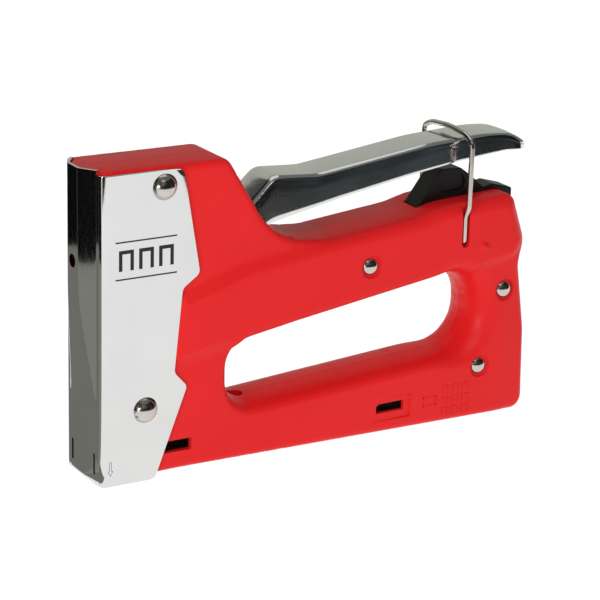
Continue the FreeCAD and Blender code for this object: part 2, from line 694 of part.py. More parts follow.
rail = new_body("magazine_rail")
wide, low, high = dim("rail_half"), dim("rail_low"), dim("rail_high")
flange = dim("rail_flange")
tee = [(-flange, low), (-flange, low + 1), (-wide, low + 1), (-wide, high), (wide, high), (wide, low + 1),
       (flange, low + 1), (flange, low)]
hollow = [(-wide + 1, low + 1), (-wide + 1, high - 1), (wide - 1, high - 1), (wide - 1, low + 1)]
pad(rail, "tube", "front", [rounded(tee), rounded(hollow)], 153, offset=6.3)
pocket(rail, "pusher_slot", "plan", [rectangle(12.5, -1.3, 110, 1.3)], 4, offset=high - 3, reverse=True)
pocket(rail, "latch_notch", "plan", [rectangle(155.5, -3.6, 160, 3.6)], 4, offset=high - 1.2, reverse=True)
keep(rail, "magazine_rail")

pusher = new_body("pusher")
saddle_out, saddle_in = 6.3, wide + gap
under = high + 0.15
eye_half = 2.3
saddle = [(-saddle_out, 3.6), (-saddle_out, 13.7), (saddle_out, 13.7), (saddle_out, 3.6), (saddle_in, 3.6),
          (saddle_in, under), (1.0, under), (1.0, 9.8), (eye_half, 9.8), (eye_half, 5.4, 0.8),
          (-eye_half, 5.4, 0.8), (-eye_half, 9.8), (-1.0, 9.8), (-1.0, under),
          (-saddle_in, under), (-saddle_in, 3.6)]
rod_z = 7.6
pad(pusher, "saddle", "front", [rounded(saddle)], 12, offset=8.0)
room = [rectangle(7, -eye_half - 0.1, 13.2, eye_half + 0.1)]
pocket(pusher, "tongue_front", "plan", room, 10, offset=3.2, reverse=True)
pocket(pusher, "rod_bore", "front", [ring(0, rod_z, 1.1)], 20, offset=5, reverse=True)
keep(pusher, "pusher")

rod = cylinder("pusher_rod", 0.9, 146, (11.0, 0, rod_z), (0, 0, 1, -90))
keep(rod, "pusher_rod")
rod_spring = coil("pusher_spring", 0.35, 1.9, 128, 40, (21.0, 0, rod_z), (1, 0, 0))
keep(rod_spring, "pusher_spring")

end_cap = new_body("magazine_end_cap")
cap_side = [(159.5, low), (159.5, 14.8, 1), (166.5, 14.8, 2), (169.9, 11.0, 2), (169.9, low, 2)]
pad(end_cap, "block", "side", [rounded(cap_side)], 14.0, both=True)
pocket(end_cap, "latch_room", "side", [rectangle(158, 8.6, 172, 17)], 7.0, both=True)
pocket(end_cap, "pin_hole", "side", [ring(163.5, 11.4, 1.05)], 40, both=True)
keep(end_cap, "magazine_end_cap")

latch = new_body("magazine_latch")
latch_side = [(157.0, 12.6), (157.0, 14.6, 0.4), (158.6, 14.4, 0.4), (159.4, 13.2, 1), (166.5, 13.4, 1.5),
              (170.2, 12.4, 0.6), (170.2, 10.4, 0.6), (165.5, 9.6, 1), (161.5, 9.6, 1)]
pad(latch, "lever", "side", [rounded(latch_side)], 6.4, both=True)
pocket(latch, "bore", "side", [ring(163.5, 11.4, 1.05)], 40, both=True)
keep(latch, "magazine_latch")
keep(cylinder("latch_pin", 1.0, 14.0, (163.5, -7.0, 11.4)), "latch_pin")

# ---- check every feature and write the pieces -----------------------------------------------

doc.recompute()
for item in doc.Objects:
    if "Invalid" in item.State or "Error" in item.State:
        raise RuntimeError(f"{item.Name} failed: {item.State}")
for label, item in nodes.items():
    shape = item.Shape
    if shape.isNull() or not shape.isValid() or not shape.Solids:
        raise RuntimeError(f"{label} has no valid solid")
for label, item in nodes.items():
    item.Shape.exportStep(f"parts/{label}.step")
    limits = item.Shape.BoundBox
    print(f"{label}: {len(item.Shape.Solids)} solid(s), {item.Shape.Volume:.0f} mm3, "
          f"x {limits.XMin:.1f}..{limits.XMax:.1f} y {limits.YMin:.1f}..{limits.YMax:.1f} "
          f"z {limits.ZMin:.1f}..{limits.ZMax:.1f}")
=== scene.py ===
import json
import math
import bpy
import bmesh
import numpy as np
from mathutils import Matrix, Vector, geometry


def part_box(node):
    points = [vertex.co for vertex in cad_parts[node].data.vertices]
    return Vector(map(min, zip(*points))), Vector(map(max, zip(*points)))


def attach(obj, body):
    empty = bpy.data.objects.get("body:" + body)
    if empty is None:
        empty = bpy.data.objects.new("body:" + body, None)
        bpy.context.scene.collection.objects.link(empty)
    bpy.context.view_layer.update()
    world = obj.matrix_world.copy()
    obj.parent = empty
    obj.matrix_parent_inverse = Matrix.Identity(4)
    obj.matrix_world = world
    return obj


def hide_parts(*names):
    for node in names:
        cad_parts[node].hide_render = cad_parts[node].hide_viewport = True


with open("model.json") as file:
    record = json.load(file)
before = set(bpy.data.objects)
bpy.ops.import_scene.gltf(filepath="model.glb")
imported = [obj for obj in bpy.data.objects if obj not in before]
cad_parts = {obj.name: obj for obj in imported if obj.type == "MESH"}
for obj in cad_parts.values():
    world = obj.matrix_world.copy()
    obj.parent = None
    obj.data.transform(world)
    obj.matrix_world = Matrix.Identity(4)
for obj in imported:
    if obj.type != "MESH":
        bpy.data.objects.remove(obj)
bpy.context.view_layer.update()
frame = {"nodes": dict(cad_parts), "record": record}
print("frame loaded")

# Staple gun: red moulded shells, a folded chrome nose cover, a pressed chrome lever and a wire bail.
# Outlines below are drawings in millimetres: x from the nose's flat front face, y across, z up.
bulgeDepth = 3.85                                            # how far the pressed nose stands out
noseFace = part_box("nose_cover")[0].x * 1000 + bulgeDepth     # the flat front face in the frame


# small tools shared by all pieces

def toFrame(points):                   # drawing millimetres to the frame's metres
    return [tuple(point) for point in (np.asarray(points, float) + (noseFace, 0, 0)) / 1000]


def shade(piece, sharpAngle):          # smooth faces that break only at real edges
    mesh = piece.data
    mesh.polygons.foreach_set("use_smooth", [True] * len(mesh.polygons))
    mesh.set_sharp_from_angle(angle=math.radians(sharpAngle))


def addObject(name, data):
    made = bpy.data.objects.new(name, data)
    bpy.context.scene.collection.objects.link(made)
    return made


def makePiece(name, points, faces, sharpAngle=35):
    mesh = bpy.data.meshes.new(name)
    mesh.from_pydata(toFrame(points), [], faces)
    built = bmesh.new()
    built.from_mesh(mesh)
    bmesh.ops.recalc_face_normals(built, faces=built.faces)
    built.to_mesh(mesh)
    built.free()
    piece = addObject(name, mesh)
    shade(piece, sharpAngle)
    return piece


def bake(piece, sharpAngle=35):        # turns a piece's modifiers into its mesh
    graph = bpy.context.evaluated_depsgraph_get()
    graph.update()
    piece.data = bpy.data.meshes.new_from_object(piece.evaluated_get(graph))
    piece.modifiers.clear()
    shade(piece, sharpAngle)


def pressSheet(piece, sheet, deburr, sharpAngle, evenOffset):
    # a skin given its thickness, with its edges broken; sizes in millimetres
    thick = piece.modifiers.new("sheet", "SOLIDIFY")
    thick.thickness = sheet / 1000
    thick.offset = -1
    thick.use_even_offset = evenOffset
    soft = piece.modifiers.new("deburr", "BEVEL")
    soft.width = deburr / 1000
    soft.segments = 2
    soft.limit_method = "ANGLE"
    soft.angle_limit = math.radians(60)
    bake(piece, sharpAngle)


def carve(piece, cutters, operation="DIFFERENCE", sharpAngle=35):
    for cutter in cutters:
        modifier = piece.modifiers.new("carve", "BOOLEAN")
        modifier.operation = operation
        modifier.solver = "MANIFOLD"
        modifier.object = cutter
    bake(piece, sharpAngle)
    for cutter in cutters:
        bpy.data.objects.remove(cutter)


def easeStep(value):                   # 0 to 1 with soft ends
    value = np.clip(value, 0, 1)
    return value * value * (3 - 2 * value)


def softMin(a, b, blend):              # the smaller of two, with a rounded change-over
    mix = np.clip(0.5 + 0.5 * (b - a) / blend, 0, 1)
    return b + (a - b) * mix - blend * mix * (1 - mix)


def roundedPath(corners, step, closed=True):
    # corners are (u, v) or (u, v, radius); straights are split every step, arcs every 10 degrees
    places = [np.array(corner[:2], float) for corner in corners]
    radii = [corner[2] if len(corner) > 2 else 0 for corner in corners]
    count = len(places)
    path = []
    for index in range(count):
        here = places[index]
        if not closed and index in (0, count - 1):
            points = [here]
        else:
            into = here - places[index - 1]
            away = places[(index + 1) % count] - here
            into /= np.linalg.norm(into)
            away /= np.linalg.norm(away)
            turn = math.atan2(into[0] * away[1] - into[1] * away[0], into @ away)
            radius = radii[index]
            start = here - into * radius * math.tan(abs(turn) / 2)
            normal = np.array((-into[1], into[0])) * math.copysign(1, turn)
            centre = start + normal * radius
            pieces = max(2, math.ceil(abs(turn) / math.radians(10))) if radius > 0 else 0
            points = [start] if radius == 0 else []
            for part in range(pieces + 1) if radius > 0 else ():
                angle = turn * part / pieces
                spoke = start - centre
                points.append(centre + (math.cos(angle) * spoke[0] - math.sin(angle) * spoke[1],
                                        math.sin(angle) * spoke[0] + math.cos(angle) * spoke[1]))
        path.append(points)
    result = []
    for index in range(count if closed else count - 1):
        result += path[index]
        first, last = path[index][-1], path[(index + 1) % count][0]
        gaps = max(1, math.ceil(np.linalg.norm(last - first) / step))
        result += [first + (last - first) * part / gaps for part in range(1, gaps)]
    if not closed:
        result += path[-1]
    kept = [result[0]]
    for point in result[1:]:
        if np.linalg.norm(point - kept[-1]) > 1e-3:
            kept.append(point)
    if closed and np.linalg.norm(kept[0] - kept[-1]) < 1e-3:
        kept.pop()
    return np.array(kept)


def insideDistance(points, path):      # distance to a closed outline, positive inside it
    first, last = path, np.roll(path, -1, axis=0)
    edge = last - first
    lengths = (edge ** 2).sum(1)
    rise = np.where(np.abs(edge[:, 1]) < 1e-12, 1e-12, edge[:, 1])
    found = np.empty(len(points))
    for begin in range(0, len(points), 1500):
        some = points[begin:begin + 1500, None, :]
        along = np.clip(((some - first) * edge).sum(2) / lengths, 0, 1)
        away = some - first - along[..., None] * edge
        gap = np.sqrt((away ** 2).sum(2)).min(1)
        spans = (first[:, 1] > some[..., 1]) != (last[:, 1] > some[..., 1])
        crossing = some[..., 0] < edge[:, 0] * (some[..., 1] - first[:, 1]) / rise + first[:, 0]
        inside = (spans & crossing).sum(1) % 2 == 1
        found[begin:begin + 1500] = np.where(inside, gap, -gap)
    return found


def inwards(path):                     # unit normals of a closed outline, pointing into it
    along = np.roll(path, -1, axis=0) - np.roll(path, 1, axis=0)
    along /= np.linalg.norm(along, axis=1)[:, None]
    normal = np.stack((-along[:, 1], along[:, 0]), axis=1)
    area = (path[:, 0] * np.roll(path[:, 1], -1) - np.roll(path[:, 0], -1) * path[:, 1]).sum()
    return normal if area > 0 else -normal


def prism(name, path, low, high, axis="y"):
    # a closed block: an outline drawn across one axis and stretched along it from low to high
    count = len(path)
    points = []
    for level in (low, high):
        for u, v in path:
            points.append({"y": (u, level, v), "z": (u, v, level), "x": (level, u, v)}[axis])
    faces = [list(range(count)), list(range(count, 2 * count))[::-1]]
    faces += [(i, (i + 1) % count, (i + 1) % count + count, i + count) for i in range(count)]
    return makePiece(name, points, faces)


def circle(u, v, radius, count=40):
    turns = [2 * math.pi * index / count for index in range(count)]
    return np.array([(u + radius * math.cos(turn), v + radius * math.sin(turn)) for turn in turns])


def rectangle(lowU, lowV, highU, highV, radius=0, step=50):
    return roundedPath([(lowU, lowV, radius), (highU, lowV, radius), (highU, highV, radius),
                        (lowU, highV, radius)], step)


def joined(name, parts):               # several pieces made into one object
    built = bmesh.new()
    for part in parts:
        built.from_mesh(part.data)
        bpy.data.objects.remove(part)
    mesh = bpy.data.meshes.new(name)
    built.to_mesh(mesh)
    built.free()
    piece = addObject(name, mesh)
    shade(piece, 35)
    return piece


# materials: one builder for plastics, one for metals, and what each is made from

def linear(hexColour):
    parts = [int(hexColour[i:i + 2], 16) / 255 for i in (0, 2, 4)]
    return [c / 12.92 if c <= 0.04045 else ((c + 0.055) / 1.055) ** 2.4 for c in parts] + [1]


def addNode(tree, kind, settings=None, links=None):
    node = tree.nodes.new(kind)
    for name, value in (settings or {}).items():
        if isinstance(name, int) or name in node.inputs:
            node.inputs[name].default_value = value
        else:
            setattr(node, name, value)
    for socket, (source, output) in (links or {}).items():
        tree.links.new(source.outputs[output], node.inputs[socket])
    return node


def perMetre(millimetres):             # texture scale for a grain of this size
    return 1000 / millimetres


def startMaterial(name, settings):
    material = bpy.data.materials.new(name)
    material.use_nodes = True
    tree = material.node_tree
    tree.nodes.clear()
    shader = addNode(tree, "ShaderNodeBsdfPrincipled", settings)
    addNode(tree, "ShaderNodeOutputMaterial", links={"Surface": (shader, "BSDF")})
    return material, tree, shader


def mouldedPlastic(name, look):
    # polished mould with a fine texture: soft broad gloss, colour nearly even
    material, tree, shader = startMaterial(name, {
        "IOR": look["ior"], "Metallic": 0, "Roughness": look["roughness"],
        "Specular IOR Level": look["gloss"]})
    place = addNode(tree, "ShaderNodeTexCoord")
    flow = addNode(tree, "ShaderNodeTexNoise",
                   {"Scale": perMetre(look["flowMm"]), "Detail": 3}, {"Vector": (place, "Object")})
    shades = addNode(tree, "ShaderNodeMix",
                     {"data_type": "RGBA", 6: linear(look["deep"]), 7: linear(look["light"])},
                     {"Factor": (flow, "Fac")})
    tree.links.new(shades.outputs[2], shader.inputs["Base Color"])
    grain = addNode(tree, "ShaderNodeTexNoise",
                    {"Scale": perMetre(look["grainMm"]), "Detail": 4, "Roughness": 0.6},
                    {"Vector": (place, "Object")})
    rough = addNode(tree, "ShaderNodeMapRange",
                    {"To Min": look["roughness"] - 0.05, "To Max": look["roughness"] + 0.05},
                    {"Value": (grain, "Fac")})
    tree.links.new(rough.outputs["Result"], shader.inputs["Roughness"])
    bump = addNode(tree, "ShaderNodeBump",
                   {"Strength": look["relief"], "Distance": look["reliefMm"] / 1000},
                   {"Height": (grain, "Fac")})
    tree.links.new(bump.outputs["Normal"], shader.inputs["Normal"])
    return material


def metalFinish(name, look):
    # a metal surface: tone drifts slowly, fine lines run along the last working direction
    material, tree, shader = startMaterial(name, {"Metallic": 1, "Roughness": look["roughness"]})
    place = addNode(tree, "ShaderNodeTexCoord")
    stretch = addNode(tree, "ShaderNodeMapping", {"Scale": look["stretch"]},
                      {"Vector": (place, "Object")})
    lines = addNode(tree, "ShaderNodeTexNoise",
                    {"Scale": perMetre(look["lineMm"]), "Detail": 5, "Roughness": 0.65},
                    {"Vector": (stretch, "Vector")})
    cloud = addNode(tree, "ShaderNodeTexNoise", {"Scale": perMetre(look["cloudMm"]), "Detail": 2},
                    {"Vector": (place, "Object")})
    tone = addNode(tree, "ShaderNodeMix",
                   {"data_type": "RGBA", 6: linear(look["dark"]), 7: linear(look["light"])},
                   {"Factor": (cloud, "Fac")})
    tree.links.new(tone.outputs[2], shader.inputs["Base Color"])
    rough = addNode(tree, "ShaderNodeMapRange",
                    {"From Min": 0.3, "From Max": 0.7,
                     "To Min": look["roughness"] * (1 - look["spread"]),
                     "To Max": look["roughness"] * (1 + look["spread"])},
                    {"Value": (lines, "Fac")})
    tree.links.new(rough.outputs["Result"], shader.inputs["Roughness"])
    bump = addNode(tree, "ShaderNodeBump",
                   {"Strength": look["relief"], "Distance": look["reliefMm"] / 1000},
                   {"Height": (lines, "Fac")})
    tree.links.new(bump.outputs["Normal"], shader.inputs["Normal"])
    return material


plastics = {
    # satin-gloss ABS: bright even red with a broad soft sheen
    "mouldedAbsRed": {"deep": "D21719", "light": "DF1F21", "ior": 1.53, "gloss": 0.16, "roughness": 0.4,
                      "flowMm": 30, "grainMm": 0.35, "relief": 0.12, "reliefMm": 0.02},
    # glass-filled nylon: near black, dull, slightly mottled
    "mouldedNylonBlack": {"deep": "0A0A0A", "light": "121211", "ior": 1.53, "gloss": 0.22, "roughness": 0.42,
                          "flowMm": 6, "grainMm": 0.3, "relief": 0.2, "reliefMm": 0.03},
    # bumper rubber: black and matt
    "mouldedRubber": {"deep": "161514", "light": "201F1E", "ior": 1.52, "gloss": 0.3, "roughness": 0.8,
                      "flowMm": 4, "grainMm": 0.25, "relief": 0.3, "reliefMm": 0.04},
    # pad-printed ink: black, slightly glossy film
    "printedInkBlack": {"deep": "1A1A1A", "light": "262626", "ior": 1.5, "gloss": 0.3, "roughness": 0.45,
                        "flowMm": 3, "grainMm": 0.2, "relief": 0.1, "reliefMm": 0.01},
}
metals = {
    # bright chrome plate on buffed steel: mirror with faint wipe marks
    "polishedChromePlate": {"dark": "D1D2D1", "light": "DADBDA", "roughness": 0.06, "spread": 0.5,
                            "stretch": (1, 1, 0.15), "lineMm": 0.5, "cloudMm": 14,
                            "relief": 0.012, "reliefMm": 0.01},
    # chrome plate over a linished pressing: lines across the lever soften the mirror
    "linishedChromePlate": {"dark": "D2D3D0", "light": "DFE0DD", "roughness": 0.13, "spread": 0.45,
                            "stretch": (1, 0.12, 0.5), "lineMm": 0.35, "cloudMm": 9,
                            "relief": 0.05, "reliefMm": 0.012},
    # nickel plate on cold-headed rivets and drawn wire: warm grey, bright
    "nickelPlatedSteel": {"dark": "B9B4AC", "light": "CFCAC3", "roughness": 0.16, "spread": 0.4,
                          "stretch": (1, 1, 1), "lineMm": 0.6, "cloudMm": 3,
                          "relief": 0.06, "reliefMm": 0.01},
    # hardened and surface-ground steel: fine parallel lines, grey
    "groundSteel": {"dark": "8E8E8C", "light": "A5A5A2", "roughness": 0.28, "spread": 0.4,
                    "stretch": (0.1, 1, 1), "lineMm": 0.3, "cloudMm": 8,
                    "relief": 0.1, "reliefMm": 0.015},
    # hardened steel painted near black: painted shade for the nose slots and sight hole that it shows through
    "paintedSlotShadeSteel": {"dark": "151516", "light": "202021", "roughness": 0.42, "spread": 0.4,
                       "stretch": (0.3, 1, 1), "lineMm": 0.4, "cloudMm": 8,
                       "relief": 0.1, "reliefMm": 0.015},
    # oil-tempered spring wire: dark blue-grey
    "temperedSpringWire": {"dark": "4C4E52", "light": "63656A", "roughness": 0.3, "spread": 0.3,
                           "stretch": (1, 1, 1), "lineMm": 0.4, "cloudMm": 4,
                           "relief": 0.08, "reliefMm": 0.01},
    # phosphated strip: charcoal, matt and crystalline
    "phosphatedSteel": {"dark": "2D2E2C", "light": "40413E", "roughness": 0.6, "spread": 0.25,
                        "stretch": (1, 1, 1), "lineMm": 0.25, "cloudMm": 3,
                        "relief": 0.25, "reliefMm": 0.02},
    # bright zinc plate: pale with a bluish cloud
    "zincPlatedSteel": {"dark": "A9AEB1", "light": "C2C6C8", "roughness": 0.3, "spread": 0.35,
                        "stretch": (0.2, 1, 1), "lineMm": 0.5, "cloudMm": 5,
                        "relief": 0.1, "reliefMm": 0.015},
    # turned brass bush
    "turnedBrass": {"dark": "B58E3D", "light": "C9A24C", "roughness": 0.25, "spread": 0.3,
                    "stretch": (1, 0.2, 1), "lineMm": 0.3, "cloudMm": 4,
                    "relief": 0.1, "reliefMm": 0.01},
}
finishes = {name: mouldedPlastic(name, look) for name, look in plastics.items()}
finishes.update({name: metalFinish(name, look) for name, look in metals.items()})
slotFinish = {
    "red_abs": "mouldedAbsRed", "chromed_sheet": "polishedChromePlate",
    "bright_steel": "nickelPlatedSteel", "hardened_steel": "groundSteel",
    "spring_steel": "temperedSpringWire", "phosphated_steel": "phosphatedSteel",
    "zinc_steel": "zincPlatedSteel", "brass_bush": "turnedBrass",
    "rubber_pad": "mouldedRubber", "black_nylon": "mouldedNylonBlack",
}
# the front guide plate is painted near black, as painted shade seen through the nose slots and sight hole
nodeFinish = {"front_guide_plate": "paintedSlotShadeSteel"}      # pieces that differ from their slot


def dress(piece, finish):
    piece.data.materials.clear()
    piece.data.materials.append(finishes[finish])


print("materials made")


# camera: sizes in millimetres and degrees, in the frame

camera = {"aim": (5.35, 10.33, 46.23), "turn": 30.65, "tilt": 17.85, "roll": 1.35,
          "distance": 900, "lens": 154.06}


def placeCamera():
    turn, tilt, roll = (math.radians(camera[key]) for key in ("turn", "tilt", "roll"))
    forward = Vector((math.sin(turn) * math.cos(tilt), math.cos(turn) * math.cos(tilt), -math.sin(tilt)))
    level = Vector((math.cos(turn), -math.sin(turn), 0))
    upright = level.cross(forward)
    right = level * math.cos(roll) + upright * math.sin(roll)
    up = right.cross(forward)
    lens = bpy.data.cameras.new("productCamera")
    lens.lens = camera["lens"]
    lens.sensor_width = 36
    lens.clip_start = 0.01
    stand = addObject("productCamera", lens)
    place = (Vector(camera["aim"]) - forward * camera["distance"]) / 1000
    turned = Matrix((right, up, -forward)).transposed()
    stand.matrix_world = Matrix.Translation(place) @ turned.to_4x4()
    bpy.context.scene.camera = stand


placeCamera()


# moulded shells: a side view whose half width is worked out point by point

shell = {
    "outline": [(1.15, 0.8, 0.5), (1.15, 107.8, 0.8), (47.5, 107.5, 5), (66.5, 76, 26), (88, 74.4, 40),
                (124, 78.2, 30), (131, 80.4, 30), (162.4, 82.2, 5), (168.4, 64, 10), (166.6, 57, 10),
                (170.4, 30, 30), (171, 0, 4.5), (30, 1.3, 30)],
    "opening": [(49.5, 19.5, 9), (49.5, 41.5, 9), (75, 45.6, 60), (148.5, 56.2, 13), (149.5, 26.8, 13)],
    # the raised grip area; it runs into the opening, whose rolled edge ends it
    "swelling": [(27.6, 40.2, 2), (29.9, 61.4, 2), (54, 68.8, 30), (80, 72.3, 40), (122, 76.2, 30),
                 (131, 78.4, 30), (160.6, 80.1, 5), (165.8, 64, 5), (163, 59.2, 4), (149, 57.4, 10),
                 (140, 46, 6), (60, 36, 6), (48, 43.4, 3)],
    "flatHalf": 12.5, "swellHalf": 14.3, "swellFade": 4.2,
    "edgeRadius": 2.4, "rollRadius": 4.4, "rearRoll": 5.0,
    "rearFall": 0.9,                   # how much the side falls in towards the rear
    "seamHalf": 0.12, "seamDepth": 0.22,
    "grid": 1.6, "wall": 2,
    "rivets": [(102.8, 63.1), (160.3, 46.4), (150.8, 19.1)],
    "recessRadius": 3.9, "recessDepth": 1.0, "recessEdge": 0.45,
    "window": (106.3, 5.0, 121.8, 13.4), "windowDepth": 0.7,
    "bump": (149.5, 64.1), "bumpRadius": 1.6, "bumpRise": 1.0,
    "drain": (57, 0, 3.2), "drainSpan": (14, 25),
    # a tongue on top that fills the pressed front of the nose cover
    "tongueGap": 1.15, "tongueRoot": 2.15, "tongueWide": 8.4, "tongueNarrow": 3.4,
    "tongueSpan": (104.6, 107.8),
}
outlinePath = roundedPath(shell["outline"], 1.3)
openingPath = roundedPath(shell["opening"], 1.3)
swellingPath = roundedPath(shell["swelling"], 2.5)


def rollAt(x):                         # the opening's rolled edge widens towards the rear
    return shell["rollRadius"] + shell["rearRoll"] * easeStep((x - 128) / 24)


def shellHalf(points):                 # half width of the tool at points of its side view
    x, z = points[:, 0], points[:, 1]
    fade = shell["swellFade"]
    raised = easeStep(insideDistance(points, swellingPath) / fade + 0.5)
    face = shell["flatHalf"] + (shell["swellHalf"] - shell["flatHalf"]) * raised
    face = face - shell["rearFall"] * easeStep((x - 158) / 10) * easeStep((58 - z) / 6)
    for u, v in shell["rivets"]:
        inward = shell["recessRadius"] - np.hypot(x - u, z - v)
        face = face - shell["recessDepth"] * easeStep(inward / shell["recessEdge"] + 0.5)
    lowU, lowV, highU, highV = shell["window"]
    inset = np.minimum.reduce((x - lowU, highU - x, z - lowV, highV - z))
    deepening = np.clip(0.25 + 0.75 * (x - lowU) / (highU - lowU), 0, 1)
    face = face - shell["windowDepth"] * deepening * easeStep(inset / 0.3 + 0.5)
    apart = np.hypot(x - shell["bump"][0], z - shell["bump"][1]) / shell["bumpRadius"]
    face = face + shell["bumpRise"] * np.sqrt(np.clip(1 - apart ** 2, 0, 1))
    edge = np.clip(insideDistance(points, outlinePath) / shell["edgeRadius"], 0, 1)
    face = face - shell["edgeRadius"] * (1 - np.sqrt(1 - (1 - edge) ** 2))
    roll = np.clip(-insideDistance(points, openingPath) / rollAt(x), 0, 1)
    seam = shell["seamHalf"]
    return seam + (face - seam) * (1 - (1 - roll) ** 2.3) ** 0.5


def sideLattice():
    # points of the side view: outlines, rows that follow each rounding, and a plain grid between
    rows = []
    normals = inwards(outlinePath)
    for degrees in range(12, 91, 13):
        rows.append(outlinePath + normals * shell["edgeRadius"] * (1 - math.cos(math.radians(degrees))))
    rows.append(outlinePath + normals * (shell["edgeRadius"] + 0.5))
    normals = inwards(openingPath)
    for degrees in range(9, 91, 9):
        reach = rollAt(openingPath[:, 0]) * (1 - math.cos(math.radians(degrees)))
        rows.append(openingPath - normals * reach[:, None])
    normals = inwards(swellingPath)
    for part in (-0.5, -0.3, -0.1, 0.1, 0.3, 0.5):
        rows.append(swellingPath + normals * part * shell["swellFade"])
    for u, v in shell["rivets"]:
        for reach in (-0.8, -0.3, -0.12, 0.05, 0.25, 0.7):
            rows.append(circle(u, v, shell["recessRadius"] + reach, 44))
    for share in (0, 0.35, 0.6, 0.8, 0.92, 0.99, 1.15):
        rows.append(circle(*shell["bump"], shell["bumpRadius"] * share + 1e-3, 24))
    lowU, lowV, highU, highV = shell["window"]
    for out in (-0.3, -0.14, 0, 0.14, 0.4):
        rows.append(rectangle(lowU - out, lowV - out, highU + out, highV + out, 0.3 + max(out, 0), 0.9))
    step = shell["grid"]
    low, high = outlinePath.min(0), outlinePath.max(0)
    u, v = np.meshgrid(np.arange(low[0], high[0], step), np.arange(low[1], high[1], step))
    rows.append(np.stack((u.ravel(), v.ravel()), axis=1))
    loose = np.concatenate(rows)
    clear = np.minimum(insideDistance(loose, outlinePath), -insideDistance(loose, openingPath))
    loose = loose[clear > 0.06]
    cells = np.round(loose / 0.12).astype(int)          # drops near-duplicates, which make slivers
    loose = loose[np.sort(np.unique(cells, axis=0, return_index=True)[1])]
    return loose


def triangulate(loops, loose):
    # triangles between an outer loop and the loops of holes inside it
    points = np.concatenate(loops + ([loose] if len(loose) else []))
    edges, begin = [], 0
    for loop in loops:
        edges += [(begin + i, begin + (i + 1) % len(loop)) for i in range(len(loop))]
        begin += len(loop)
    made = geometry.delaunay_2d_cdt([Vector(point) for point in points], edges, [], 0, 1e-7)
    found = np.array([tuple(vertex) for vertex in made[0]])
    order = {}
    for index, sources in enumerate(made[3]):
        for source in sources:
            order[source] = index
    faces = [tuple(face) for face in made[2] if len(face) == 3]
    a, b, c = (found[[face[corner] for face in faces]] for corner in range(3))
    areas = np.abs((b - a)[:, 0] * (c - a)[:, 1] - (b - a)[:, 1] * (c - a)[:, 0])
    inside = insideDistance((a + b + c) / 3, loops[0]) > 0
    for hole in loops[1:]:
        inside &= insideDistance((a + b + c) / 3, hole) < 0
    # triangles not parted by a loop belong together; the largest one speaks for all
    fence = {frozenset(edge) for edge, sources in zip(made[1], made[4]) if sources}
    beside = {}
    for number, face in enumerate(faces):
        for corner in range(3):
            beside.setdefault(frozenset((face[corner], face[corner - 1])), []).append(number)
    kept, seen = [], set()
    for first in np.argsort(-areas):
        group = [] if first in seen else [int(first)]
        seen.update(group)
        for number in group:
            face = faces[number]
            for edge in (frozenset((face[corner], face[corner - 1])) for corner in range(3)):
                fresh = [n for n in beside[edge] if edge not in fence and n not in seen]
                seen.update(fresh)
                group.extend(fresh)
        if group and inside[first] and areas[first] > 1e-3:
            kept += group
    return found, [faces[number] for number in kept], order


def shellSolid(name, side, lattice):
    found, faces, order, half = lattice
    points = [(x, side * y, z) for (x, z), y in zip(found, half)]
    wound = list(faces)
    seamLoops, seamStarts, begin = [], [], 0
    for path, sign in ((outlinePath, 1), (openingPath, -1)):
        count = len(path)
        rim = [order[begin + i] for i in range(count)]
        begin += count
        lowStart = len(points)
        points += [(x, side * shell["seamHalf"], z) for x, z in path] if sign > 0 else []
        if sign > 0:
            low = [lowStart + i for i in range(count)]
            wound += [(rim[i], low[i], low[(i + 1) % count], rim[(i + 1) % count]) for i in range(count)]
            rim = low
        seam = path + sign * inwards(path) * shell["seamDepth"]
        seamStarts.append(len(points))
        points += [(x, 0, z) for x, z in seam]
        low = [seamStarts[-1] + i for i in range(count)]
        wound += [(rim[i], low[i], low[(i + 1) % count], rim[(i + 1) % count]) for i in range(count)]
        seamLoops.append(seam)
    flat, flatFaces, flatOrder = triangulate(seamLoops, np.empty((0, 2)))
    back, index = {}, 0
    for start, loop in zip(seamStarts, seamLoops):
        for offset in range(len(loop)):
            back[flatOrder[index]] = start + offset
            index += 1
    wound += [tuple(back[corner] for corner in face) for face in flatFaces]
    return makePiece(name, points, wound)


